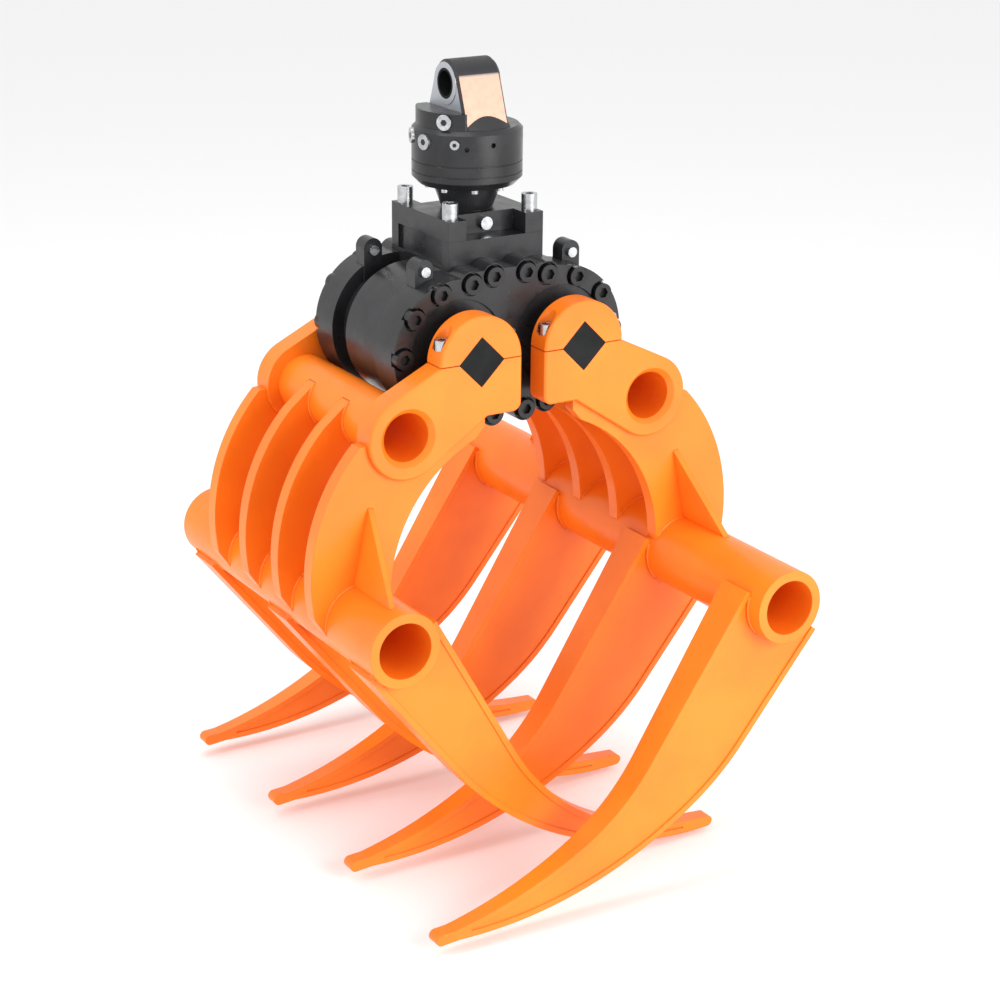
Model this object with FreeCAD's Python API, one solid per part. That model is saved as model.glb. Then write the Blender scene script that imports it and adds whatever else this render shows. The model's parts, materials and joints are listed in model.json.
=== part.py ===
import FreeCAD, Part
import math
import os

os.makedirs("parts", exist_ok=True)

# Log grapple: two clamshell jaws of curved tines, each carried at both ends of a shaft that a
# helical rotary cylinder turns, hung under a hydraulic rotator with a link eye.
#
# Millimetres. X runs from jaw to jaw, Y from front to rear and Z up. The sizes are set out with z = 0
# at the jaw shafts and y = 0 midway along them. save() moves the origin to the centre of the link bore.
# Each jaw is drawn with its own shaft at x = 0 and x growing outwards, then placed or mirrored.

Vec = FreeCAD.Vector
alongX = Vec(1, 0, 0)
alongY = Vec(0, 1, 0)
alongZ = Vec(0, 0, 1)

# Clearances
seat_gap = 0.05            # radial, round seats within one body
running_fit = 0.08         # radial, what turns or slides in a bore
face_gap = 0.5             # end play between bodies that turn past each other
through = 5.0              # how far a cutting shape stands past what it cuts

# Shafts
shaft_spread = 230.0       # between the two jaw shafts
shaft_square = 70.0        # square ends
shaft_journal = 110.0      # diameter in the bearings
shaft_core = 132.0         # diameter of the splined middle

# Clamps that grip the square ends
clamp_thick = 52.0
clamp_gap = 16.0           # between the drive and the clamps
clamp_side = 89.0          # shaft to the inner side, and the radius of the cap
clamp_floor = 108.0        # shaft to the underside
clamp_floor_end = -15.0    # where the underside turns towards the tube boss
clamp_corner = 18.0        # round on the lower inner corner
clamp_split = 2.0          # slot between clamp and cap
clamp_boss = 82.0          # radius round the upper tube
clamp_chamfer = 3.0

# Cap screws
cap_screw_x = 72.0
cap_screw_head = 30.0
cap_screw_head_height = 20.0
cap_screw_shank = 20.0
cap_screw_length = 85.0
cap_seat_z = 28.0
cap_seat_radius = 19.0
screw_hole_gap = 1.0       # clearance holes, on diameter
socket_share = 0.5         # hexagon socket across flats, of the head
socket_depth_share = 0.5

# Upper tube
upper_x = 158.5
upper_z = -126.0
upper_outer = 116.0
upper_inner = 95.6
bore_chamfer = 10.0

# Lower tube
lower_x = 257.7
lower_z = -475.0
lower_outer = 147.6
lower_inner = 110.0
lower_front_right = -585.0
lower_rear_right = 585.0
lower_front_left = -400.0
lower_rear_left = 415.0

# Ribs between the tubes
rib_thick = 30.0
rib_outer_place = 210.0    # middle of the front and rear ribs
rib_middle_place = 70.0    # middle of the two ribs between
rib_outer_bow = 368.0      # radius of the outer edge
rib_inner_bow = 306.0      # radius of the inner edge
rib_clear = 167.0          # radius round the shaft that the middle ribs keep clear
rib_outer_margin = 39.5    # outer edge of the ribs, off the upper tube
rib_outer_drop = 6.0
rib_heel_margin = 22.5     # outer edge of the ribs, off the lower tube
rib_heel_rise = 18.0
rib_inner_x = 5.0          # inner edge of the ribs, below the clamps
rib_inner_drop = 46.0
rib_toe_inset = 7.1        # inner edge of the ribs, inside the lower tube
rib_toe_rise = 60.0
rib_foot_heel = -14.0      # degrees round the lower tube
rib_foot_toe = 152.0
rib_crown = 44.0           # degrees round the upper tube, middle ribs

# Gussets beside the front and rear ribs
gusset_x = 265.0
gusset_thick = 12.0
gusset_height = 152.0
gusset_foot = 140.0
gusset_lean = 12.0         # degrees, top towards the shaft

# Tines, seen from the side
tine_spacing = 340.0
tine_count_right = 4
tine_count_left = 3
tine_width_top = 82.0
tine_width_tip = 30.0
tine_strap = 12.0
tine_side = 12.0
tine_lip = 3.0             # straps stand proud of the side plates
tine_inner_angle = 154.2   # degrees round the lower tube, where the inner strap starts
tine_outer_angle = -38.8   # where the outer strap starts
tine_heel_angle = -19.8    # where the side plates leave the lower tube
tine_nose_length = 75.0
tine_nose_reach = 43.0     # tip beyond the ends of the straps
tine_nose_round = 11.5

# Straps of the right tines: start off the lower tube, heading in degrees, straight and two bends
right_inner_clear = 11.4
right_inner_heading = -122.8
right_inner_run = [(384.0,), (442.0, -27.4), (869.0, -19.6)]
right_outer_clear = 47.2
right_outer_heading = -127.6
right_outer_run = [(267.0,), (509.0, -14.9), (830.0, -39.9)]

# Straps of the left tines, which are slimmer
left_inner_clear = 12.1
left_inner_heading = -120.2
left_inner_run = [(360.2,), (542.6, -53.7), (818.5, -3.0)]
left_outer_clear = 10.3
left_outer_heading = -128.8
left_outer_run = [(310.9,), (549.1, -3.0), (756.1, -47.9)]

# Drive, along Y
drive_front = -150.0
front_plate_length = 80.0
block_body_length = 125.0
block_neck_length = 45.0
block_tail_length = 30.0
rear_plate_length = 40.0

# Drive, across
body_radius = 134.0
plate_proud = 6.0          # end plates beyond the body
neck_radius = 113.0
web_half = 96.0
web_top = 150.0
web_bottom = -135.0
lobe_radius = 25.0
cylinder_bore = 196.0
plate_recess = 202.0
recess_depth = 14.0
gland_flange = 8.0
gland_depth = 28.0
gland_lip = 6.0
bearing_wall = 7.0
bearing_length = 16.0
seal_length = 6.0

# Plate screws: round each shaft, and across the web from the middle of the drive
screw_angles = [0.0, 38.1, 71.9]
screw_inset = 19.5         # from the edge of the plates
web_screws = [(85.0, 127.0), (36.0, 137.0)]
plate_screw_head = 38.0
plate_screw_head_height = 20.0
plate_screw_proud = 8.0    # heads beyond the plates
plate_screw_shank = 20.0
plate_screw_grip = 35.0    # thread in the block
plate_screw_sink = 46.0    # counterbore

# Pistons and ring gears
ring_gear_start = 0.0
ring_gear_length = 30.0
ring_gear_inner = 168.0
piston_start = -98.0
piston_head_length = 25.0
piston_length = 158.0

# Port blocks on the cylinders
port_x = 165.0
port_width = 40.0
port_depth = 34.0
port_top = 175.0
port_front_y = -90.0
port_rear_y = 112.0
port_plug = 20.0
port_plug_length = 8.0
port_plug_z = 152.0

# Saddle and adapter plate
rotator_y = 14.0
saddle_half_x = 106.0
saddle_half_y = 111.0
saddle_height = 48.0
saddle_panel_depth = 6.0
saddle_panel_margin = 26.0
adapter_height = 40.0
adapter_pocket_half = 66.0
adapter_pocket_depth = 46.0
adapter_port = 26.0
adapter_port_length = 12.0
adapter_screw_x = 89.0
adapter_screw_y = 87.0
adapter_screw_head = 31.0
adapter_screw_head_height = 32.0
adapter_screw_shank = 20.0

# Rotator
neck_foot = 100.0          # neck diameter at the adapter plate
neck_outer = 136.0         # under the bottom cover
neck_rise = 49.0           # adapter plate to the bottom cover
cover_bottom_radius = 94.0
cover_height = 14.0
cover_screw_circle = 77.0
cover_screw_head = 13.0
cover_screw_head_height = 9.0
cover_screw_shank = 8.0
cover_screw_length = 30.0
cover_screw_count = 8
cover_screw_turn = 3.0     # degrees
rotator_radius = 108.0
rotator_height = 101.0
rotator_roof = 22.0
rotator_rim = 8.0
groove_width = 2.5
groove_depth = 1.5
groove_rises = [12.0, 33.0]
test_hole = 10.0
test_hole_depth = 10.0
test_spots = [(239.0, 33.0), (267.0, 27.0)]   # degrees, depth under the rotator's top
chamber_radius = 88.0
stator_inner = 74.0
stator_height = 50.0
rotor_shaft_radius = 50.0
rotor_disc_radius = 70.0
rotor_disc_height = 12.0
rotor_core_radius = 62.0
thrust_height = 6.0
vane_count = 6
vane_thick = 8.0
vane_depth = 24.0

# Manifold on the rotator's shoulder
manifold_height = 32.0
manifold_front = 84.0
manifold_rear = 70.0
plug_length = 5.0

# Link eye
link_half = 50.0
link_rise = 79.0           # rotator top to the bore
link_bore = 49.0
link_bush_wall = 5.0
link_arch = 46.0
link_foot_half = 78.0
link_chamfer = 5.0
link_cheek = 1.0           # faced boss round the bore
link_cone_radius = 94.0    # turned foot on the rotator
link_cone_height = 30.0
link_cone_top = 62.0

# Heights and places worked out from those above
half_spread = shaft_spread / 2
upper_radius = upper_outer / 2
lower_radius = lower_outer / 2
plate_radius = body_radius + plate_proud
screw_seat = plate_screw_head_height - plate_screw_proud
drive_body_start = drive_front + front_plate_length
drive_neck_start = drive_body_start + block_body_length
drive_tail_start = drive_neck_start + block_neck_length
drive_tail_end = drive_tail_start + block_tail_length
drive_rear = drive_tail_end + rear_plate_length
clamp_inner_y = max(-drive_front, drive_rear) + clamp_gap
clamp_outer_y = clamp_inner_y + clamp_thick
saddle_top = web_top + saddle_height
adapter_top = saddle_top + adapter_height
cover_bottom = adapter_top + neck_rise
housing_bottom = cover_bottom + cover_height
housing_top = housing_bottom + rotator_height
link_z = housing_top + link_rise
origin = Vec(0, rotator_y, link_z)


# Plain shapes

def rod(radius, y0, y1, x=0.0, z=0.0):
    return Part.makeCylinder(radius, y1 - y0, Vec(x, y0, z), alongY)


def post(radius, z0, z1, x=0.0, y=0.0):
    return Part.makeCylinder(radius, z1 - z0, Vec(x, y, z0), alongZ)


def block(x0, x1, y0, y1, z0, z1):
    return Part.makeBox(x1 - x0, y1 - y0, z1 - z0, Vec(x0, y0, z0))


def sleeve(outer, inner, y0, y1, x=0.0, z=0.0):
    return rod(outer, y0, y1, x, z).cut(rod(inner, y0 - through, y1 + through, x, z))


def collar(outer, inner, z0, z1, x=0.0, y=0.0):
    return post(outer, z0, z1, x, y).cut(post(inner, z0 - through, z1 + through, x, y))


def cone(radius0, radius1, z0, z1, x=0.0, y=0.0):
    return Part.makeCone(radius0, radius1, z1 - z0, Vec(x, y, z0), alongZ)


def flared(radius, flare, y, inward):
    # Cutting cone for the chamfer on a bore's mouth at y; inward is +1 or -1 along Y.
    return Part.makeCone(radius + flare, radius, flare, Vec(0, y, 0), alongY * inward)


def prism(face, y0, y1):
    raised = face.copy()
    raised.translate(Vec(0, y0, 0))
    return raised.extrude(Vec(0, y1 - y0, 0))


def fused(shapes):
    whole = shapes[0]
    for shape in shapes[1:]:
        whole = whole.fuse(shape)
    return whole.removeSplitter()


def cutAll(shape, tools):
    for tool in tools:
        shape = shape.cut(tool)
    return shape


def save(name, shapes):
    whole = shapes[0] if len(shapes) == 1 else Part.makeCompound(shapes)
    whole.translate(-origin)
    whole.exportStep("parts/" + name + ".step")


# Outlines in the XZ plane

def polar(length, angle):
    return Vec(length * math.cos(angle), 0, length * math.sin(angle))


def around(x, z, radius, degrees):
    return Vec(x, 0, z) + polar(radius, math.radians(degrees))


class Trace:
    # A run of joined edges with its two ends.
    def __init__(self, edges, start, end):
        self.edges = edges
        self.start = start
        self.end = end

    def back(self):
        return Trace(self.edges, self.end, self.start)


def smooth(start, heading, runs, offset=0.0):
    # Straights (length,) and bends (radius, turn) that follow each other without a corner. A positive
    # turn is anticlockwise, and a positive offset moves the whole path to its left.
    angle = math.radians(heading)
    here = start + polar(offset, angle + math.pi / 2)
    first = here
    edges = []
    for run in runs:
        if len(run) == 1:
            there = here + polar(run[0], angle)
            edges.append(Part.makeLine(here, there))
        else:
            swing = math.radians(run[1])
            side = math.copysign(1, swing)
            radius = run[0] - side * offset
            hub = here + polar(radius, angle + side * math.pi / 2)
            middle = hub + polar(radius, angle - side * math.pi / 2 + swing / 2)
            there = hub + polar(radius, angle - side * math.pi / 2 + swing)
            edges.append(Part.Arc(here, middle, there).toShape())
            angle += swing
        here = there
    return Trace(edges, first, here)


def bow(start, end, radius):
    # Arc that bulges to the left of the way from start to end.
    chord = end - start
    half = chord.Length / 2
    left = Vec(-chord.z, 0, chord.x).normalize()
    middle = (start + end) * 0.5 + left * (radius - math.sqrt(radius ** 2 - half ** 2))
    return Trace([Part.Arc(start, middle, end).toShape()], start, end)


def arc(start, middle, end):
    return Trace([Part.Arc(start, middle, end).toShape()], start, end)


def tangentPoint(point, hub, radius, side):
    # Where a line from point touches a circle, on its left (+1) or right (-1) seen from the point.
    gap = hub - point
    base = math.atan2(-gap.z, -gap.x)
    swing = math.acos(radius / gap.Length)
    return hub + polar(radius, base - side * swing)


def filled(pieces):
    # Face bounded by traces and points in order, with straight lines between them.
    pieces = [p if isinstance(p, Trace) else Trace([], p, p) for p in pieces]
    edges = []
    for here, there in zip(pieces, pieces[1:] + pieces[:1]):
        edges.extend(here.edges)
        if here.end.distanceToPoint(there.start) > 1e-6:
            edges.append(Part.makeLine(here.end, there.start))
    return Part.Face(Part.Wire(Part.__sortEdges__(edges)))


# Screws

def socketScrew(head, head_height, shank, length, seat, x=0.0, y=0.0):
    # Standing screw with its head on z = seat and its shank down to seat - length.
    top = seat + head_height
    screw = post(head / 2, seat, top, x, y).fuse(post(shank / 2, seat - length, seat, x, y))
    across = head * socket_share / math.sqrt(3)
    corners = [Vec(x + across * math.cos(math.radians(a)), y + across * math.sin(math.radians(a)), top)
               for a in range(0, 361, 60)]
    hexagon = Part.Face(Part.makePolygon(corners))
    return screw.cut(hexagon.extrude(Vec(0, 0, -head_height * socket_depth_share)))


def layDown(shape, inward):
    # Turns a standing shape about the origin so that its top faces away from inward (+1 or -1 along Y).
    shape.rotate(Vec(0, 0, 0), alongX, 90 * inward)
    return shape


# Jaw pieces, drawn for a shaft at x = 0

upper_hub = Vec(upper_x, 0, upper_z)
lower_hub = Vec(lower_x, 0, lower_z)


def clampOutline():
    split = clamp_split / 2
    corner = Vec(clamp_side, 0, -split)
    floor_end = Vec(clamp_floor_end, 0, -clamp_floor)
    low = tangentPoint(floor_end, upper_hub, clamp_boss, -1)
    high = tangentPoint(corner, upper_hub, clamp_boss, 1)
    far = upper_hub + (upper_hub - Vec(0, 0, 0)).normalize() * clamp_boss
    round_hub = Vec(clamp_corner - clamp_side, 0, clamp_corner - clamp_floor)
    side_end = round_hub + polar(clamp_corner, math.pi)
    round_mid = round_hub + polar(clamp_corner, math.pi * 1.25)
    floor_start = round_hub + polar(clamp_corner, math.pi * 1.5)
    return filled([Vec(-clamp_side, 0, -split), arc(side_end, round_mid, floor_start), floor_end,
                   arc(low, far, high), corner])


def squareHole(y0, y1):
    half = shaft_square / math.sqrt(2)
    corners = [Vec(half, 0, 0), Vec(0, 0, half), Vec(-half, 0, 0), Vec(0, 0, -half)]
    return prism(filled(corners), y0, y1)


def clampEdges(shape, y):
    # The long edges of a clamp's or cap's outer face, at y, without those of its holes.
    def outer(edge):
        box = edge.BoundBox
        flat = abs(box.YMin - y) < 1e-4 and abs(box.YMax - y) < 1e-4
        middle = edge.valueAt((edge.FirstParameter + edge.LastParameter) / 2)
        return flat and math.hypot(middle.x, middle.z) > clamp_side - 1e-3
    return [edge for edge in shape.Edges if outer(edge)]


def capScrews(front):
    places = []
    y = (clamp_outer_y - clamp_thick / 2) * front
    for x in (-cap_screw_x, cap_screw_x):
        places.append(socketScrew(cap_screw_head, cap_screw_head_height, cap_screw_shank,
                                  cap_screw_length, cap_seat_z, x, y))
    return places


def clampEnds(front):
    outer = clamp_outer_y * front
    inner = clamp_inner_y * front
    return min(outer, inner), max(outer, inner)


def clampBody(front):
    y0, y1 = clampEnds(front)
    body = prism(clampOutline(), y0, y1)
    body = body.makeChamfer(clamp_chamfer, clampEdges(body, clamp_outer_y * front))
    bore = rod(upper_inner / 2, y0 - through, y1 + through, upper_x, upper_z)
    mouth = flared(upper_inner / 2, bore_chamfer, clamp_outer_y * front, -front)
    mouth.translate(upper_hub)
    body = cutAll(body, [squareHole(y0, y1), bore, mouth])
    y = (y0 + y1) / 2
    for x in (-cap_screw_x, cap_screw_x):
        bottom = cap_seat_z - cap_screw_length
        body = body.cut(post(cap_screw_shank / 2 + seat_gap, bottom, cap_seat_z, x, y))
    return body


def clampCap(front):
    y0, y1 = clampEnds(front)
    split = clamp_split / 2
    end = math.sqrt(clamp_side ** 2 - split ** 2)
    face = filled([arc(Vec(end, 0, split), Vec(0, 0, clamp_side), Vec(-end, 0, split))])
    cap = prism(face, y0, y1)
    cap = cap.makeChamfer(clamp_chamfer, clampEdges(cap, clamp_outer_y * front))
    cap = cap.cut(squareHole(y0, y1))
    y = (y0 + y1) / 2
    for x in (-cap_screw_x, cap_screw_x):
        cap = cap.cut(post((cap_screw_shank + screw_hole_gap) / 2, -through, clamp_side, x, y))
        cap = cap.cut(post(cap_seat_radius, cap_seat_z, clamp_side, x, y))
    return cap


def jawShaft():
    square = squareHole(-clamp_outer_y, clamp_outer_y)
    journal = rod(shaft_journal / 2, -clamp_inner_y, clamp_inner_y)
    core_front = drive_front + recess_depth - gland_flange + gland_depth + face_gap
    core_rear = drive_rear - recess_depth + gland_flange - gland_depth - face_gap
    core = rod(shaft_core / 2, core_front, core_rear)
    return fused([square, journal, core])


def upperTube():
    return sleeve(upper_radius, upper_inner / 2, -clamp_inner_y, clamp_inner_y, upper_x, upper_z)


def lowerTube(front, rear):
    return sleeve(lower_radius, lower_inner / 2, front, rear, lower_x, lower_z)


def ribEdges():
    outer_start = upper_hub + Vec(upper_radius + rib_outer_margin, 0, -rib_outer_drop)
    outer_end = lower_hub + Vec(lower_radius + rib_heel_margin, 0, rib_heel_rise)
    inner_start = Vec(rib_inner_x, 0, -clamp_floor - rib_inner_drop)
    inner_end = lower_hub + Vec(rib_toe_inset - lower_radius, 0, rib_toe_rise)
    return bow(outer_start, outer_end, rib_outer_bow), bow(inner_start, inner_end, rib_inner_bow)


def outerRib(front):
    outer, inner = ribEdges()
    heel = lower_hub + polar(lower_radius, math.radians(rib_foot_heel))
    toe = lower_hub + polar(lower_radius, math.radians(rib_foot_toe))
    inner_top = Vec(clamp_floor_end, 0, -clamp_floor - rib_inner_drop / 2)
    face = filled([outer, heel, lower_hub, toe, inner.back(), inner_top,
                   Vec(clamp_floor_end, 0, -clamp_floor), Vec(0, 0, -clamp_floor / 2), upper_hub])
    y = rib_outer_place * front
    rib = prism(face, y - rib_thick / 2, y + rib_thick / 2)
    y0, y1 = clampEnds(front)
    clamp = prism(clampOutline(), y0 - through, y1 + through)
    inside = rod(upper_radius, -clamp_outer_y, clamp_outer_y, upper_x, upper_z)
    tube = rod(lower_radius, y - rib_thick, y + rib_thick, lower_x, lower_z)
    return cutAll(rib, [clamp, inside, tube])


def middleRib(side):
    outer, inner = ribEdges()
    crown = upper_hub + polar(upper_radius, math.radians(rib_crown))
    heel = lower_hub + polar(lower_radius, math.radians(rib_foot_heel))
    toe = lower_hub + polar(lower_radius, math.radians(rib_foot_toe))
    face = filled([outer, heel, lower_hub, toe, inner.back(), upper_hub, crown])
    y = rib_middle_place * side
    y0 = y - rib_thick / 2
    y1 = y + rib_thick / 2
    rib = prism(face, y0, y1)
    clear = rod(rib_clear, y0 - through, y1 + through)
    upper = rod(upper_radius, y0 - through, y1 + through, upper_x, upper_z)
    lower = rod(lower_radius, y0 - through, y1 + through, lower_x, lower_z)
    return cutAll(rib, [clear, upper, lower])


def gusset(front):
    start = (rib_outer_place + rib_thick / 2) * front
    end = start + gusset_foot * front
    foot = lower_z
    top = lower_z + math.sqrt(lower_radius ** 2 - (gusset_x - lower_x) ** 2) + gusset_height
    heel = lower_z + lower_radius
    x0 = gusset_x - gusset_thick / 2
    corners = [Vec(x0, start, foot), Vec(x0, end, foot), Vec(x0, end, heel), Vec(x0, start, top),
               Vec(x0, start, foot)]
    sheet = Part.Face(Part.makePolygon(corners)).extrude(Vec(gusset_thick, 0, 0))
    sheet.rotate(Vec(gusset_x, 0, heel), alongY, -gusset_lean)
    y0, y1 = sorted([start - through * front, end + through * front])
    return sheet.cut(rod(lower_radius, y0, y1, lower_x, lower_z))


def lastHeading(heading, runs):
    return heading + sum(run[1] for run in runs if len(run) > 1)


class Tine:
    # Box section of two converging side plates between an inner and an outer strap, with a solid nose.
    def __init__(self, inner_strap, outer_strap):
        inner_clear, self.inner_heading, self.inner_run = inner_strap
        outer_clear, self.outer_heading, self.outer_run = outer_strap
        self.inner_start = around(lower_x, lower_z, lower_radius + inner_clear, tine_inner_angle)
        self.outer_start = around(lower_x, lower_z, lower_radius + outer_clear, tine_outer_angle)
        inner_end = self.inner().end
        outer_end = self.outer().end
        self.way = (inner_end - lower_hub).normalize()
        last = lastHeading(self.inner_heading, self.inner_run) + lastHeading(self.outer_heading, self.outer_run)
        self.nose_way = polar(1.0, math.radians(last / 2))
        self.tip = (inner_end + outer_end) * 0.5 + self.nose_way * tine_nose_reach
        self.length = (self.tip - lower_hub).dot(self.way)
        self.nose_x = self.tip.x + tine_nose_length

    def inner(self, offset=0.0):
        return smooth(self.inner_start, self.inner_heading, self.inner_run, offset)

    def outer(self, offset=0.0):
        return smooth(self.outer_start, self.outer_heading, self.outer_run, offset)

    def slab(self, outside, thick):
        # Wedge that narrows towards the tip; its side lies outside the tine's half width by outside.
        cross = Vec(-self.way.z, 0, self.way.x)
        top = lower_hub - self.way * lower_outer - cross * self.length
        length = self.length + 2 * lower_outer
        fall = (tine_width_top - tine_width_tip) / 2 / self.length
        y0 = tine_width_top / 2 + fall * lower_outer + outside
        y1 = y0 - fall * length
        corners = [top + alongY * y0, top + self.way * length + alongY * y1,
                   top + self.way * length + alongY * (y1 - thick), top + alongY * (y0 - thick)]
        face = Part.Face(Part.makePolygon(corners + corners[:1]))
        return face.extrude(cross * 2 * self.length)

    def wedge(self):
        cross = Vec(-self.way.z, 0, self.way.x)
        top = lower_hub - self.way * lower_outer - cross * self.length
        length = self.length + 2 * lower_outer
        fall = (tine_width_top - tine_width_tip) / 2 / self.length
        y0 = tine_width_top / 2 + fall * lower_outer
        y1 = y0 - fall * length
        corners = [top + alongY * y0, top + self.way * length + alongY * y1,
                   top + self.way * length - alongY * y1, top - alongY * y0]
        face = Part.Face(Part.makePolygon(corners + corners[:1]))
        return face.extrude(cross * 2 * self.length)

    def pieces(self):
        wide = tine_width_top
        tube = rod(lower_radius, -wide, wide, lower_x, lower_z)
        far = self.tip.x - tine_width_top
        ahead = block(self.nose_x, lower_x + lower_outer, -wide, wide, -2 * self.length, 0)
        behind = block(far, self.nose_x, -wide, wide, -2 * self.length, 0)
        wedge = self.wedge()
        inner = filled([self.inner(), self.inner(tine_strap).back()])
        outer = filled([self.outer(), self.outer(-tine_strap).back()])
        heel = around(lower_x, lower_z, lower_radius, tine_heel_angle)
        between = filled([self.inner(tine_strap), self.outer(-tine_strap).back(), heel, lower_hub])
        cross = Vec(-self.nose_way.z, 0, self.nose_way.x) * tine_nose_round
        hub = self.tip - self.nose_way * tine_nose_round
        nose = filled([self.inner(), arc(hub - cross, self.tip, hub + cross), self.outer().back()])
        straps = [prism(face, -wide, wide).common(wedge).common(ahead).cut(tube)
                  for face in (inner, outer)]
        core = prism(between, -wide, wide).common(ahead).cut(tube)
        left = core.common(self.slab(-tine_lip, tine_side))
        right = left.mirror(Vec(0, 0, 0), alongY)
        point = prism(nose, -wide, wide).common(wedge).common(behind)
        return straps + [left, right, point]


# Drive pieces

def twin(radius, y0, y1, bottom=web_bottom):
    rods = [rod(radius, y0, y1, x) for x in (-half_spread, half_spread)]
    return fused(rods + [block(-web_half, web_half, y0, y1, bottom, web_top)])


def lobes(y0, y1):
    shapes = []
    for x, z in web_screws:
        for sx in (-1, 1):
            for sz in (-1, 1):
                shapes.append(rod(lobe_radius, y0, y1, x * sx, z * sz))
    return shapes


def screwSpots():
    circle = plate_radius - screw_inset
    turns = [math.radians(angle) for angle in screw_angles]
    rounds = [(half_spread + circle * math.cos(turn), circle * math.sin(turn)) for turn in turns]
    spots = []
    for x, z in rounds + web_screws:
        for sx in (-1, 1):
            for sz in ((-1, 1) if z else (1,)):
                spots.append((x * sx, z * sz))
    return spots


def bores(radius, y0, y1):
    return [rod(radius, y0, y1, x) for x in (-half_spread, half_spread)]


def frontForm():
    return fused([twin(plate_radius, drive_front, drive_body_start)] + lobes(drive_front, drive_body_start))


def blockForm():
    boss_end = drive_body_start + plate_screw_grip + through
    return fused([twin(body_radius, drive_body_start, drive_neck_start),
                  twin(neck_radius, drive_neck_start, drive_tail_start),
                  twin(plate_radius, drive_tail_start, drive_tail_end)]
                 + lobes(drive_body_start, boss_end) + lobes(drive_tail_start, drive_tail_end))


def rearForm():
    return fused([twin(plate_radius, drive_tail_end, drive_rear)] + lobes(drive_tail_end, drive_rear))


def frontPlate():
    shape = cutAll(frontForm(), bores(cylinder_bore / 2, drive_front - through, drive_body_start + through))
    shape = cutAll(shape, bores(plate_recess / 2, drive_front - through, drive_front + recess_depth))
    for x, z in screwSpots():
        seat = drive_front + screw_seat
        shape = shape.cut(rod(plate_screw_sink / 2, drive_front - through, seat, x, z))
        shape = shape.cut(rod((plate_screw_shank + screw_hole_gap) / 2, seat - through,
                              drive_body_start + through, x, z))
    return shape


def rearPlate():
    shape = cutAll(rearForm(), bores(cylinder_bore / 2, drive_tail_end - through, drive_rear + through))
    shape = cutAll(shape, bores(plate_recess / 2, drive_rear - recess_depth, drive_rear + through))
    for x, z in screwSpots():
        seat = drive_rear - screw_seat
        shape = shape.cut(rod(plate_screw_sink / 2, seat, drive_rear + through, x, z))
        shape = shape.cut(rod((plate_screw_shank + screw_hole_gap) / 2, drive_tail_end - through,
                              seat + through, x, z))
    return shape


def cylinderBlock():
    shape = cutAll(blockForm(), bores(cylinder_bore / 2, drive_body_start - through,
                                      drive_tail_end + through))
    hole = plate_screw_shank / 2 + seat_gap
    for x, z in screwSpots():
        shape = shape.cut(rod(hole, drive_body_start - through, drive_body_start + plate_screw_grip, x, z))
        shape = shape.cut(rod(hole, drive_tail_start + through, drive_tail_end + through, x, z))
    return shape


def plateScrews(seat, length, inward):
    shapes = []
    for x, z in screwSpots():
        screw = layDown(socketScrew(plate_screw_head, plate_screw_head_height, plate_screw_shank,
                                    length, 0.0), inward)
        screw.translate(Vec(x, seat, z))
        shapes.append(screw)
    return shapes


def glandParts(outer_face, inward):
    # Gland ring, bearing and seal of both shafts at one end; inward is +1 at the front, -1 at the rear.
    def span(a, b):
        return sorted([outer_face + a * inward, outer_face + b * inward])
    glands = []
    bearings = []
    seals = []
    top = recess_depth - gland_flange
    inner = shaft_journal / 2 + bearing_wall
    for x in (-half_spread, half_spread):
        flange = rod(plate_recess / 2 - seat_gap, *span(top, recess_depth), x)
        spigot = rod(cylinder_bore / 2 - seat_gap, *span(top, top + gland_depth), x)
        hole = rod(inner, *span(top - through, top + gland_depth - gland_lip), x)
        lip = rod(shaft_journal / 2 + 2 * face_gap, *span(top, top + gland_depth + through), x)
        glands.append(flange.fuse(spigot).cut(hole).cut(lip).removeSplitter())
        shelf = top + gland_depth - gland_lip
        bearings.append(sleeve(inner - seat_gap, shaft_journal / 2 + running_fit,
                               *span(shelf - bearing_length, shelf), x))
        seals.append(sleeve(inner - seat_gap, shaft_journal / 2 + running_fit,
                            *span(shelf - bearing_length - seal_length, shelf - bearing_length), x))
    return glands, bearings, seals


def ringGear(side):
    return sleeve(cylinder_bore / 2 - seat_gap, ring_gear_inner / 2, ring_gear_start,
                  ring_gear_start + ring_gear_length, half_spread * side)


def piston(side):
    x = half_spread * side
    head = rod(cylinder_bore / 2 - running_fit, piston_start, piston_start + piston_head_length, x)
    body = rod(ring_gear_inner / 2 - running_fit, piston_start, piston_start + piston_length, x)
    hole = rod(shaft_core / 2 + running_fit, piston_start - through, piston_start + piston_length + through, x)
    return head.fuse(body).cut(hole).removeSplitter()


def portBlock(x, y, hosts):
    half = port_width / 2
    hub = port_top - half
    face = filled([Vec(half, 0, hub), Vec(half, 0, 0), Vec(-half, 0, 0),
                   arc(Vec(-half, 0, hub), Vec(0, 0, port_top), Vec(half, 0, hub))])
    shape = prism(face, y - port_depth / 2, y + port_depth / 2)
    shape.translate(Vec(x, 0, 0))
    return cutAll(shape, hosts)


def portPlug(x, y):
    front = y - port_depth / 2
    return rod(port_plug / 2, front - port_plug_length, front, x, port_plug_z)


def saddle(hosts):
    front = rotator_y - saddle_half_y
    rear = rotator_y + saddle_half_y
    shape = block(-saddle_half_x, saddle_half_x, front, rear, body_radius / 2, saddle_top)
    shape = cutAll(shape, hosts)
    for side in (-1, 1):
        x0, x1 = sorted([saddle_half_x * side, (saddle_half_x - saddle_panel_depth) * side])
        shape = shape.cut(block(x0, x1, front + saddle_panel_margin, rear - saddle_panel_margin,
                                web_top, saddle_top))
    return shape


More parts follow.
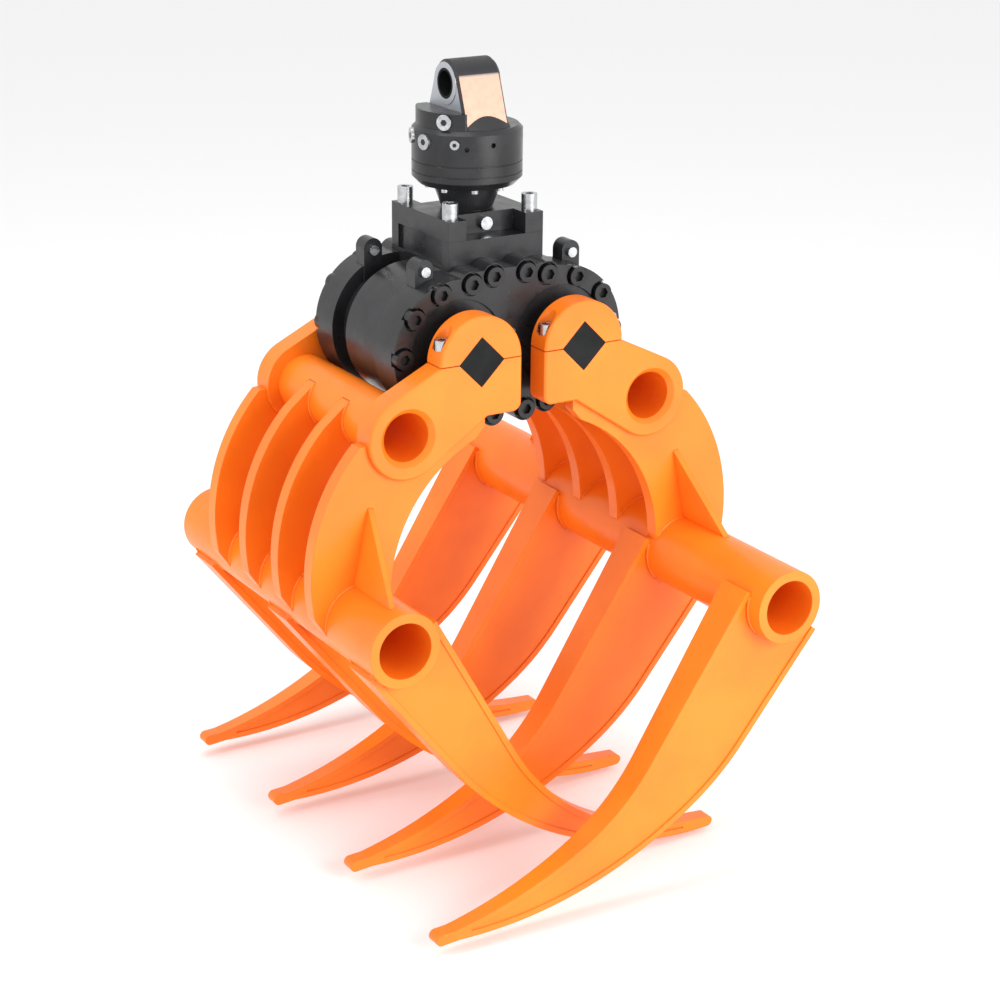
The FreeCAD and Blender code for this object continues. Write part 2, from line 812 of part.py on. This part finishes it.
def adapterPlate():
    front = rotator_y - saddle_half_y
    rear = rotator_y + saddle_half_y
    shape = block(-saddle_half_x, saddle_half_x, front, rear, saddle_top, adapter_top)
    half = adapter_pocket_half
    shape = shape.cut(block(-half, half, front - through, front + adapter_pocket_depth,
                            saddle_top - through, adapter_top + through))
    shape = shape.cut(block(-half, half, rear - adapter_pocket_depth, rear + through,
                            saddle_top - through, adapter_top + through))
    neck = cone(neck_foot / 2, neck_outer / 2, adapter_top, cover_bottom - face_gap, 0, rotator_y)
    shape = fused([shape, neck])
    for x, y in adapterCorners():
        shape = shape.cut(post((adapter_screw_shank + screw_hole_gap) / 2, saddle_top - through,
                               adapter_top + through, x, y))
    return shape


def adapterCorners():
    return [(adapter_screw_x * sx, rotator_y + adapter_screw_y * sy) for sx in (-1, 1) for sy in (-1, 1)]


def adapterScrews():
    length = adapter_height + saddle_height - through
    return [socketScrew(adapter_screw_head, adapter_screw_head_height, adapter_screw_shank, length,
                        adapter_top, x, y) for x, y in adapterCorners()]


def drilledSaddle(hosts):
    shape = saddle(hosts)
    for x, y in adapterCorners():
        shape = shape.cut(post(adapter_screw_shank / 2 + seat_gap, saddle_top - saddle_height + through,
                               saddle_top + through, x, y))
    return shape


def adapterPort():
    wall = rotator_y - saddle_half_y + adapter_pocket_depth
    z = (saddle_top + adapter_top) / 2
    return rod(adapter_port / 2, wall - adapter_port_length, wall, 0, z)


# Rotator pieces

def coverSpots():
    spots = []
    count = round(cover_screw_count)
    for i in range(count):
        angle = math.radians(360 / count * (i + 0.5) + cover_screw_turn)
        spots.append((cover_screw_circle * math.cos(angle),
                      rotator_y + cover_screw_circle * math.sin(angle)))
    return spots


def bottomCover():
    shape = cone(cover_bottom_radius, rotator_radius, cover_bottom, housing_bottom, 0, rotator_y)
    shape = shape.cut(post(rotor_shaft_radius + running_fit, cover_bottom - through,
                           housing_bottom + through, 0, rotator_y))
    for x, y in coverSpots():
        shape = shape.cut(post((cover_screw_shank + screw_hole_gap) / 2, cover_bottom - through,
                               housing_bottom + through, x, y))
    return shape


def coverScrews():
    screws = []
    for x, y in coverSpots():
        screw = socketScrew(cover_screw_head, cover_screw_head_height, cover_screw_shank,
                            cover_screw_length, 0.0)
        screw.rotate(Vec(0, 0, 0), alongX, 180)
        screw.translate(Vec(x, y, cover_bottom))
        screws.append(screw)
    return screws


def plugSpots():
    # Angle about the rotator, height, head diameter.
    return [(214.0, housing_top + manifold_height / 2, 30.0), (191.0, housing_top - 25, 30.0),
            (163.0, housing_top - 21, 30.0), (227.0, housing_top - 24, 18.0)]


def radialRod(radius, inner, outer, angle, z):
    way = Vec(math.cos(math.radians(angle)), math.sin(math.radians(angle)), 0)
    return Part.makeCylinder(radius, outer - inner, Vec(0, rotator_y, z) + way * inner, way)


def rotatorHousing():
    shape = post(rotator_radius, housing_bottom, housing_top, 0, rotator_y)
    rim = [e for e in shape.Edges if abs(e.BoundBox.ZMin - housing_top) < 1e-4 and e.BoundBox.ZLength < 1e-4]
    shape = shape.makeChamfer(rotator_rim, rim)
    shape = shape.cut(post(chamber_radius, housing_bottom - through, housing_top - rotator_roof, 0, rotator_y))
    for rise in groove_rises:
        z = housing_bottom + rise
        shape = shape.cut(collar(rotator_radius + through, rotator_radius - groove_depth,
                                 z - groove_width / 2, z + groove_width / 2, 0, rotator_y))
    for x, y in coverSpots():
        shape = shape.cut(post(cover_screw_shank / 2 + seat_gap, housing_bottom - through,
                               cover_bottom + cover_screw_length, x, y))
    for angle, drop in test_spots:
        shape = shape.cut(radialRod(test_hole / 2, rotator_radius - test_hole_depth,
                                    rotator_radius + through, angle, housing_top - drop))
    return shape


def manifoldBlock():
    disc = post(rotator_radius - rotator_rim, housing_top, housing_top + manifold_height, 0, rotator_y)
    return disc.common(block(-rotator_radius, -link_half, rotator_y - manifold_front,
                             rotator_y + manifold_rear, housing_top, housing_top + manifold_height))


def statorRing():
    top = housing_top - rotator_roof
    return collar(chamber_radius - seat_gap, stator_inner, top - stator_height, top, 0, rotator_y)


def thrustWasher():
    return collar(rotor_disc_radius, rotor_shaft_radius + face_gap, housing_bottom,
                  housing_bottom + thrust_height, 0, rotator_y)


def rotorSolid():
    seat = cover_bottom - face_gap
    disc = housing_bottom + thrust_height + running_fit
    core = disc + rotor_disc_height
    top = housing_top - rotator_roof - face_gap
    return fused([post(rotor_shaft_radius, seat, disc, 0, rotator_y),
                  post(rotor_disc_radius, disc, core, 0, rotator_y),
                  post(rotor_core_radius, core, top, 0, rotator_y)]), core, top


def vane(index, z0, z1):
    outer = stator_inner - face_gap
    shape = block(outer - vane_depth, outer, -vane_thick / 2, vane_thick / 2, z0, z1)
    shape.rotate(Vec(0, 0, 0), alongZ, 360 / vane_count * index)
    shape.translate(Vec(0, rotator_y, 0))
    return shape


def rotorAndVanes():
    rotor, z0, z1 = rotorSolid()
    vanes = [vane(i, z0, z1) for i in range(round(vane_count))]
    return cutAll(rotor, vanes), vanes


def linkEye():
    foot = -link_foot_half
    hub = Vec(0, 0, link_z)
    base = Vec(foot, 0, housing_top)
    other = Vec(-foot, 0, housing_top)
    left = tangentPoint(base, hub, link_arch, 1)
    right = tangentPoint(other, hub, link_arch, -1)
    face = filled([base, arc(left, hub + Vec(0, 0, link_arch), right), other])
    wall = link_half - link_cheek
    shape = prism(face, -wall, wall)
    rims = [edge for edge in shape.Edges
            if edge.BoundBox.YLength < 1e-4 and edge.BoundBox.ZMax > housing_top + 1.0]
    shape = shape.makeChamfer(link_chamfer, rims)
    shape.rotate(Vec(0, 0, 0), alongZ, 90)
    shape.translate(Vec(0, rotator_y, 0))
    turned = cone(link_cone_radius, link_cone_top, housing_top, housing_top + link_cone_height, 0, rotator_y)
    turned = turned.common(block(-wall, wall, rotator_y - link_cone_radius, rotator_y + link_cone_radius,
                                 housing_top, housing_top + link_cone_height))
    cheeks = Part.makeCylinder(link_arch - link_chamfer, 2 * link_half, Vec(-link_half, rotator_y, link_z),
                               alongX)
    shape = fused([shape, turned, cheeks])
    shape = shape.common(post(rotator_radius - rotator_rim, housing_top, link_z + link_arch, 0, rotator_y))
    bore = Part.makeCylinder(link_bore / 2 + link_bush_wall, 2 * link_half, Vec(-link_half, rotator_y, link_z),
                             alongX)
    return shape.cut(bore)


def linkBush():
    start = Vec(-link_half, rotator_y, link_z)
    outer = Part.makeCylinder(link_bore / 2 + link_bush_wall - seat_gap, 2 * link_half, start, alongX)
    return outer.cut(Part.makeCylinder(link_bore / 2, 2 * link_half, start, alongX))


# Assembly

def placed(shape, side):
    # A jaw piece on the right (+1) or, mirrored, on the left (-1).
    copy = shape.copy() if side > 0 else shape.mirror(Vec(0, 0, 0), alongX)
    copy.translate(Vec(half_spread * side, 0, 0))
    return copy


def saveJaw(name, side, tube_ends, tine_count, tine):
    def keep(piece, shapes):
        save(name + "_" + piece, [placed(shape, side) for shape in shapes])
    keep("shaft", [jawShaft()])
    keep("front_clamp", [clampBody(-1)])
    keep("rear_clamp", [clampBody(1)])
    keep("front_cap", [clampCap(-1)])
    keep("rear_cap", [clampCap(1)])
    keep("cap_screws", capScrews(-1) + capScrews(1))
    keep("upper_tube", [upperTube()])
    keep("lower_tube", [lowerTube(*tube_ends)])
    keep("outer_ribs", [outerRib(-1), outerRib(1)])
    keep("middle_ribs", [middleRib(-1), middleRib(1)])
    keep("gussets", [gusset(-1), gusset(1)])
    pieces = tine.pieces()
    for i in range(round(tine_count)):
        y = tine_spacing * (i - (tine_count - 1) / 2)
        moved = [piece.copy() for piece in pieces]
        for piece in moved:
            piece.translate(Vec(0, y, 0))
        keep("tine_" + str(i + 1), moved)


def saveDrive():
    hosts = [frontForm(), blockForm(), rearForm()]
    save("front_end_plate", [frontPlate()])
    save("rear_end_plate", [rearPlate()])
    save("cylinder_block", [cylinderBlock()])
    front_seat = drive_front + screw_seat
    front_length = front_plate_length - screw_seat + plate_screw_grip
    rear_length = rear_plate_length - screw_seat + block_tail_length - through
    save("front_plate_screws", plateScrews(front_seat, front_length - through, 1))
    save("rear_plate_screws", plateScrews(drive_rear - screw_seat, rear_length - through, -1))
    front_glands, front_bearings, front_seals = glandParts(drive_front, 1)
    rear_glands, rear_bearings, rear_seals = glandParts(drive_rear, -1)
    save("front_glands", front_glands)
    save("rear_glands", rear_glands)
    save("shaft_bearings", front_bearings + rear_bearings)
    save("shaft_seals", front_seals + rear_seals)
    for name, side in (("left", -1), ("right", 1)):
        save(name + "_ring_gear", [ringGear(side)])
        save(name + "_piston", [piston(side)])
    spots = [(port_x * side, y) for side in (-1, 1) for y in (port_front_y, port_rear_y)]
    save("port_blocks", [portBlock(x, y, hosts) for x, y in spots])
    save("port_plugs", [portPlug(x, y) for x, y in spots])
    save("saddle", [drilledSaddle(hosts)])
    save("adapter_plate", [adapterPlate()])
    save("adapter_screws", adapterScrews())
    save("adapter_plug", [adapterPort()])


def saveRotator():
    rotor, vanes = rotorAndVanes()
    save("rotor", [rotor])
    save("rotor_vanes", vanes)
    housing = rotatorHousing()
    manifold = manifoldBlock()
    plugs = []
    for angle, z, head in plugSpots():
        low = z < housing_top
        outer = rotator_radius if low else rotator_radius - rotator_rim
        seat = outer - plug_length
        plugs.append(radialRod(head / 2, seat, outer + plug_length, angle, z))
        pocket = radialRod(head / 2 + seat_gap, seat, outer + rotator_rim, angle, z)
        if low:
            housing = housing.cut(pocket)
        else:
            manifold = manifold.cut(pocket)
    save("rotator_housing", [housing])
    save("manifold_block", [manifold])
    save("manifold_plugs", plugs)
    save("bottom_cover", [bottomCover()])
    save("cover_screws", coverScrews())
    save("stator_ring", [statorRing()])
    save("thrust_washer", [thrustWasher()])
    save("link_eye", [linkEye()])
    save("link_bush", [linkBush()])


right_tine = Tine((right_inner_clear, right_inner_heading, right_inner_run),
                  (right_outer_clear, right_outer_heading, right_outer_run))
left_tine = Tine((left_inner_clear, left_inner_heading, left_inner_run),
                 (left_outer_clear, left_outer_heading, left_outer_run))
saveJaw("right", 1, (lower_front_right, lower_rear_right), tine_count_right, right_tine)
saveJaw("left", -1, (lower_front_left, lower_rear_left), tine_count_left, left_tine)
saveDrive()
saveRotator()
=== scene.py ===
import bmesh
import bpy
import json
import math
from mathutils import Matrix, Vector


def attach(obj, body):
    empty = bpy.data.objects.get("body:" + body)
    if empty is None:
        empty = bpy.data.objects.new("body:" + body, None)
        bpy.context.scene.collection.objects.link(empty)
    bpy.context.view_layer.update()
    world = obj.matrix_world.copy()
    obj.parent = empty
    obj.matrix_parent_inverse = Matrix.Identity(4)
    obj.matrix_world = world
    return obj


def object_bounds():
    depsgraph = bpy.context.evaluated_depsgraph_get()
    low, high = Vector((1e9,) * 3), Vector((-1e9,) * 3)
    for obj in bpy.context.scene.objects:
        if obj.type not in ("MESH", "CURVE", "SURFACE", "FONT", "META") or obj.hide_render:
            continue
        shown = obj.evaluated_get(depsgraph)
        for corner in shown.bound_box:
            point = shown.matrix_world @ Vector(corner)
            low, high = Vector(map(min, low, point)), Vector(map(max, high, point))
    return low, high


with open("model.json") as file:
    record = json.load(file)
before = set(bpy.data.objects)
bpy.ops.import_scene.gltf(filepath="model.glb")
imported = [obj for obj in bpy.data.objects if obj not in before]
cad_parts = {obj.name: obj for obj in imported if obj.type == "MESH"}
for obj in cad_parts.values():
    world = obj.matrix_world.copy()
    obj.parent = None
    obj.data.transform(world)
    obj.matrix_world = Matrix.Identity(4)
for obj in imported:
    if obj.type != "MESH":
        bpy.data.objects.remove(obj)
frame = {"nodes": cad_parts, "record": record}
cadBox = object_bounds()
nodes = frame["nodes"]
print("frame loaded:", len(nodes), "nodes")


# Material building

def newMaterial(name):
    material = bpy.data.materials.new(name)
    material.use_nodes = True
    tree = material.node_tree
    return material, tree, tree.nodes["Principled BSDF"]


def addNode(tree, kind, **values):
    node = tree.nodes.new(kind)
    for key, value in values.items():
        if key in node.inputs:
            node.inputs[key].default_value = value
        else:
            setattr(node, key, value)
    return node


def noise(tree, scale, detail=2.0):
    place = addNode(tree, "ShaderNodeTexCoord")
    cloud = addNode(tree, "ShaderNodeTexNoise")
    cloud.inputs["Scale"].default_value = scale
    cloud.inputs["Detail"].default_value = detail
    tree.links.new(place.outputs["Object"], cloud.inputs["Vector"])
    return cloud.outputs["Fac"]


def ramp(tree, source, low, high, lowColour, highColour):
    node = addNode(tree, "ShaderNodeValToRGB")
    node.color_ramp.elements[0].position = low
    node.color_ramp.elements[1].position = high
    node.color_ramp.elements[0].color = (*lowColour, 1.0)
    node.color_ramp.elements[1].color = (*highColour, 1.0)
    tree.links.new(source, node.inputs["Fac"])
    return node.outputs["Color"]


def grey(tree, source, low, high, first, second):
    return ramp(tree, source, low, high, (first,) * 3, (second,) * 3)


def bumpOver(tree, shader, height, strength, distance, edge=0.0):
    bump = addNode(tree, "ShaderNodeBump")
    bump.inputs["Strength"].default_value = strength
    bump.inputs["Distance"].default_value = distance
    tree.links.new(height, bump.inputs["Height"])
    if edge > 0:
        rounder = addNode(tree, "ShaderNodeBevel")
        rounder.samples = 4
        rounder.inputs["Radius"].default_value = edge
        tree.links.new(rounder.outputs["Normal"], bump.inputs["Normal"])
    tree.links.new(bump.outputs["Normal"], shader.inputs["Normal"])


jawPaintLook = {
    "deep": (0.86, 0.175, 0.008),
    "fresh": (0.96, 0.215, 0.010),
    "roughness": (0.34, 0.42),
    "coat": 0.12,
    "peelScale": 420.0,
    "edge": 0.0022,
}


def jawPaint():
    look = jawPaintLook
    material, tree, shader = newMaterial("jawPaint")
    cloud = noise(tree, 6.0, 4.0)
    tree.links.new(ramp(tree, cloud, 0.35, 0.65, look["deep"], look["fresh"]), shader.inputs["Base Color"])
    tree.links.new(grey(tree, noise(tree, 30.0), 0.3, 0.7, *look["roughness"]), shader.inputs["Roughness"])
    shader.inputs["Coat Weight"].default_value = look["coat"]
    shader.inputs["Coat Roughness"].default_value = 0.15
    shader.inputs["Specular IOR Level"].default_value = 0.35
    bumpOver(tree, shader, noise(tree, look["peelScale"], 1.0), 0.08, 0.0004, look["edge"])
    return material


def darkPaint(name, low, high, roughness, coat, edge=0.0015, gloss=0.4):
    material, tree, shader = newMaterial(name)
    tree.links.new(ramp(tree, noise(tree, 14.0, 4.0), 0.35, 0.65, low, high), shader.inputs["Base Color"])
    tree.links.new(grey(tree, noise(tree, 45.0), 0.3, 0.7, *roughness), shader.inputs["Roughness"])
    shader.inputs["Coat Weight"].default_value = coat
    shader.inputs["Coat Roughness"].default_value = 0.15
    shader.inputs["Specular IOR Level"].default_value = gloss
    bumpOver(tree, shader, noise(tree, 380.0, 1.0), 0.12, 0.0004, edge)
    return material


def bareMetal(name, low, high, roughness, scale=60.0, edge=0.0008):
    material, tree, shader = newMaterial(name)
    tree.links.new(ramp(tree, noise(tree, scale, 3.0), 0.3, 0.7, low, high), shader.inputs["Base Color"])
    tree.links.new(grey(tree, noise(tree, scale * 2), 0.3, 0.7, *roughness), shader.inputs["Roughness"])
    shader.inputs["Metallic"].default_value = 1.0
    bumpOver(tree, shader, noise(tree, scale * 6, 2.0), 0.06, 0.0003, edge)
    return material


linkSteelLook = {
    # Peach on the front and rear faces: a painted reflection, not the steel's own colour.
    "faced": (0.52, 0.33, 0.25),
    "side": (0.50, 0.52, 0.55),
    "painted": (0.012, 0.012, 0.014),
    "facedEdge": (0.90, 0.93),
}


def linkSteel():
    # Machined faces at the front, rear and sides, black paint on the rest. The front and rear faces get a
    # peach colour that is a painted reflection; the sides keep a steel grey.
    look = linkSteelLook
    material, tree, shader = newMaterial("linkSteel")
    place = addNode(tree, "ShaderNodeTexCoord")
    parts = addNode(tree, "ShaderNodeSeparateXYZ")
    tree.links.new(place.outputs["Normal"], parts.inputs["Vector"])
    masks = []
    for axis in ("X", "Y"):
        size = addNode(tree, "ShaderNodeMath", operation="ABSOLUTE")
        tree.links.new(parts.outputs[axis], size.inputs[0])
        masks.append(grey(tree, size.outputs[0], *look["facedEdge"], 0.0, 1.0))
    # Steel grey on the sides, peach painted reflection on the front and rear faces.
    bareAndReflectionMix = addNode(tree, "ShaderNodeMixRGB", blend_type="MIX")
    tree.links.new(masks[1], bareAndReflectionMix.inputs["Fac"])
    bareAndReflectionMix.inputs["Color1"].default_value = (*look["side"], 1.0)
    bareAndReflectionMix.inputs["Color2"].default_value = (*look["faced"], 1.0)
    both = addNode(tree, "ShaderNodeMixRGB", blend_type="LIGHTEN")
    both.inputs["Fac"].default_value = 1.0
    tree.links.new(masks[0], both.inputs["Color1"])
    tree.links.new(masks[1], both.inputs["Color2"])
    colour = addNode(tree, "ShaderNodeMixRGB", blend_type="MIX")
    tree.links.new(both.outputs["Color"], colour.inputs["Fac"])
    colour.inputs["Color1"].default_value = (*look["painted"], 1.0)
    tree.links.new(bareAndReflectionMix.outputs["Color"], colour.inputs["Color2"])
    tree.links.new(colour.outputs["Color"], shader.inputs["Base Color"])
    tree.links.new(both.outputs["Color"], shader.inputs["Metallic"])
    tree.links.new(grey(tree, noise(tree, 90.0, 3.0), 0.3, 0.7, 0.42, 0.55), shader.inputs["Roughness"])
    bumpOver(tree, shader, noise(tree, 300.0, 2.0), 0.05, 0.0003, 0.0010)
    return material


materials = {
    "jaw_paint": jawPaint(),
    "drive_paint": darkPaint("drivePaint", (0.010, 0.010, 0.011), (0.018, 0.018, 0.020), (0.26, 0.36), 0.1),
    "shaft_steel": darkPaint("shaftSteel", (0.004, 0.005, 0.005), (0.009, 0.010, 0.010), (0.5, 0.65), 0.0,
                             gloss=0.15),
    "zinc": bareMetal("zincPlate", (0.42, 0.43, 0.44), (0.60, 0.61, 0.62), (0.22, 0.34)),
    "black_screws": darkPaint("blackScrews", (0.004, 0.004, 0.005), (0.009, 0.009, 0.010), (0.28, 0.4), 0.1,
                              0.001),
    "link_steel": linkSteel(),
    "bearing_bronze": bareMetal("bearingBronze", (0.50, 0.33, 0.16), (0.60, 0.42, 0.22), (0.25, 0.4)),
    "seal_rubber": darkPaint("sealRubber", (0.010, 0.010, 0.010), (0.018, 0.018, 0.018), (0.6, 0.8), 0.0),
    "ground_steel": bareMetal("groundSteel", (0.50, 0.51, 0.52), (0.62, 0.63, 0.64), (0.2, 0.3)),
}


def paintNodes():
    slots = {part["node"]: part["material_slot"] for part in frame["record"]["subparts"]}
    for name, piece in nodes.items():
        piece.data.materials.clear()
        piece.data.materials.append(materials[slots[name]])


paintNodes()
print("materials on the nodes")


# Weld beads

weldLook = {
    "radius": 0.0034,
    "ripple": 0.16,
    "pitch": 0.006,
    "sides": 8,
    "step": 0.0025,
    "leastSteps": 8,
    "endShare": 0.35,
    "lowerArc": (-8, 146),
    "upperArc": (-120, 40),
    "tineArc": (-32, -200),
}
jawPlaces = {
    "shaft": 0.115,
    "upper": (0.1585, -0.126, 0.058),
    "lower": (0.2577, -0.475, 0.0738),
    "origin": (0.014, 0.481),
    "ribs": (-0.210, -0.070, 0.070, 0.210),
    "middleRibs": (-0.070, 0.070),
    "ribHalf": 0.015,
    "tineHalf": 0.040,
    "tines": {"left": (-0.340, 0.0, 0.340), "right": (-0.510, -0.170, 0.170, 0.510)},
}


def jawPoint(side, x, y, z):
    # A point given from the jaw's shaft, in the frame.
    return Vector((side * (jawPlaces["shaft"] + x), y - jawPlaces["origin"][0], z - jawPlaces["origin"][1]))


def aroundTube(side, tube, y, arc):
    x, z, radius = jawPlaces[tube]
    first, last = arc
    length = abs(math.radians(last - first)) * radius
    count = max(weldLook["leastSteps"], int(length / weldLook["step"]))
    angles = [math.radians(first + (last - first) * i / count) for i in range(count + 1)]
    return [jawPoint(side, x + radius * math.cos(a), y, z + radius * math.sin(a)) for a in angles]


def addBead(mesh, path):
    # A rippled bead swept along the path.
    look = weldLook
    rings = []
    run = 0.0
    for i, point in enumerate(path):
        ahead = path[min(i + 1, len(path) - 1)] - path[max(i - 1, 0)]
        ahead.normalize()
        first = ahead.orthogonal().normalized()
        second = ahead.cross(first)
        run += (point - path[i - 1]).length if i else 0.0
        swell = 1.0 + look["ripple"] * math.sin(2 * math.pi * run / look["pitch"])
        end = look["endShare"] if i in (0, len(path) - 1) else 1.0
        radius = look["radius"] * swell * end
        ring = []
        for k in range(look["sides"]):
            angle = 2 * math.pi * k / look["sides"]
            ring.append(mesh.verts.new(point + (first * math.cos(angle) + second * math.sin(angle)) * radius))
        rings.append(ring)
    for a, b in zip(rings, rings[1:]):
        for k in range(look["sides"]):
            n = (k + 1) % look["sides"]
            mesh.faces.new((a[k], a[n], b[n], b[k]))
    mesh.faces.new(rings[0][::-1])
    mesh.faces.new(rings[-1])


def finishPiece(name, mesh, material, body):
    bmesh.ops.recalc_face_normals(mesh, faces=mesh.faces)
    data = bpy.data.meshes.new(name)
    mesh.to_mesh(data)
    mesh.free()
    piece = bpy.data.objects.new(name, data)
    bpy.context.collection.objects.link(piece)
    data.materials.append(material)
    for face in data.polygons:
        face.use_smooth = True
    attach(piece, body)
    return piece


def jawWelds(name, side):
    mesh = bmesh.new()
    places = jawPlaces
    for rib in places["ribs"]:
        for way in (-1, 1):
            y = rib + places["ribHalf"] * way
            addBead(mesh, aroundTube(side, "lower", y, weldLook["lowerArc"]))
            if rib in places["middleRibs"]:
                addBead(mesh, aroundTube(side, "upper", y, weldLook["upperArc"]))
    for tine in places["tines"][name]:
        for way in (-1, 1):
            y = tine + places["tineHalf"] * way
            addBead(mesh, aroundTube(side, "lower", y, weldLook["tineArc"]))
    finishPiece(name + "JawWelds", mesh, materials["jaw_paint"], name + "_jaw")


jawWelds("left", -1)
jawWelds("right", 1)
print("weld beads laid")


# Plug sockets, drawn as black hexagons: painted shade for the socket recesses

plugShadeLook = {"turns": ((214.0, -0.063, 0.1050, 0.0065), (191.0, -0.104, 0.1130, 0.0065),
                      (163.0, -0.100, 0.1130, 0.0065), (227.0, -0.103, 0.1130, 0.0042)),
            "lift": 0.0004, "depth": 0.0012}


def plugSocketShade():
    # Hexagon sockets in the plugs of the rotator, drawn as thin black hexagons on the plug faces: painted
    # shade where the recess would be.
    mesh = bmesh.new()
    for turn, height, reach, radius in plugShadeLook["turns"]:
        way = Vector((math.cos(math.radians(turn)), math.sin(math.radians(turn)), 0))
        side = Vector((-way.y, way.x, 0))
        hub = way * (reach + plugShadeLook["lift"]) + Vector((0, 0, height))
        front = []
        back = []
        for k in range(6):
            angle = math.radians(60 * k)
            rim = side * (radius * math.cos(angle)) + Vector((0, 0, radius * math.sin(angle)))
            front.append(mesh.verts.new(hub + rim))
            back.append(mesh.verts.new(hub + rim - way * plugShadeLook["depth"]))
        mesh.faces.new(front)
        mesh.faces.new(back[::-1])
        for k in range(6):
            n = (k + 1) % 6
            mesh.faces.new((front[k], back[k], back[n], front[n]))
    # The black screw paint on these hexagons is painted shade for the sockets.
    piece = finishPiece("plugSocketShade", mesh, materials["black_screws"], "link")
    for face in piece.data.polygons:
        face.use_smooth = False


plugSocketShade()
print("plug sockets placed")


# Camera

cameraView = {
    "azimuth": 31.56,
    "elevation": 19.53,
    "roll": 0.54,
    "distance": 5.00968,
    "target": (0.07373, -0.014, -0.86208),
    "lens": 88.06,
}


def placeCamera():
    view = cameraView
    azimuth = math.radians(view["azimuth"])
    elevation = math.radians(view["elevation"])
    roll = math.radians(view["roll"])
    forward = Vector((math.sin(azimuth) * math.cos(elevation), math.cos(azimuth) * math.cos(elevation),
                      -math.sin(elevation)))
    right = Vector((math.cos(azimuth), -math.sin(azimuth), 0))
    up = right.cross(forward)
    turnedRight = right * math.cos(roll) + up * math.sin(roll)
    turnedUp = up * math.cos(roll) - right * math.sin(roll)
    camera = bpy.data.objects.new("camera", bpy.data.cameras.new("camera"))
    bpy.context.collection.objects.link(camera)
    camera.data.lens = view["lens"]
    camera.data.sensor_width = 36.0
    camera.data.clip_end = 100.0
    place = Vector(view["target"]) - forward * view["distance"]
    turn = Matrix((turnedRight, turnedUp, -forward)).transposed().to_4x4()
    camera.matrix_world = Matrix.Translation(place) @ turn
    bpy.context.scene.camera = camera
    return camera


placeCamera()
print("camera placed")


# Floor and lights

floorLook = {"size": 40.0, "drop": 0.012, "colour": (0.93, 0.93, 0.93)}


def makeFloor():
    low = cadBox[0][2] - floorLook["drop"]
    bpy.ops.mesh.primitive_plane_add(size=floorLook["size"], location=(0, 6, low))
    floor = bpy.context.object
    floor.name = "floor"
    material, tree, shader = newMaterial("paleFloor")
    shader.inputs["Base Color"].default_value = (*floorLook["colour"], 1.0)
    shader.inputs["Roughness"].default_value = 0.9
    shader.inputs["Specular IOR Level"].default_value = 0.1
    floor.data.materials.append(material)


def areaLight(name, place, aim, width, height, power, colour=(1, 1, 1)):
    light = bpy.data.lights.new(name, "AREA")
    light.shape = "RECTANGLE"
    light.size = width
    light.size_y = height
    light.energy = power
    light.color = colour
    lamp = bpy.data.objects.new(name, light)
    bpy.context.collection.objects.link(lamp)
    lamp.location = place
    lamp.rotation_euler = (Vector(aim) - Vector(place)).to_track_quat("-Z", "Y").to_euler()
    return lamp


def makeLights():
    middle = (0, 0, -0.8)
    areaLight("frontSoftbox", (1.2, -4.5, 0.6), middle, 3.0, 2.4, 190.0)
    areaLight("leftSoftbox", (-4.2, -0.2, 1.2), middle, 1.2, 2.4, 60.0, (0.93, 0.94, 1.0))
    areaLight("topSoftbox", (-0.4, 0.6, 3.6), middle, 3.0, 3.0, 60.0)
    world = bpy.data.worlds.new("studio")
    world.use_nodes = True
    world.node_tree.nodes["Background"].inputs["Color"].default_value = (1, 1, 1, 1)
    world.node_tree.nodes["Background"].inputs["Strength"].default_value = 0.95
    bpy.context.scene.world = world
    bpy.context.scene.view_settings.view_transform = "Standard"
    bpy.context.scene.view_settings.look = "None"


makeFloor()
makeLights()
print("floor and lights placed")
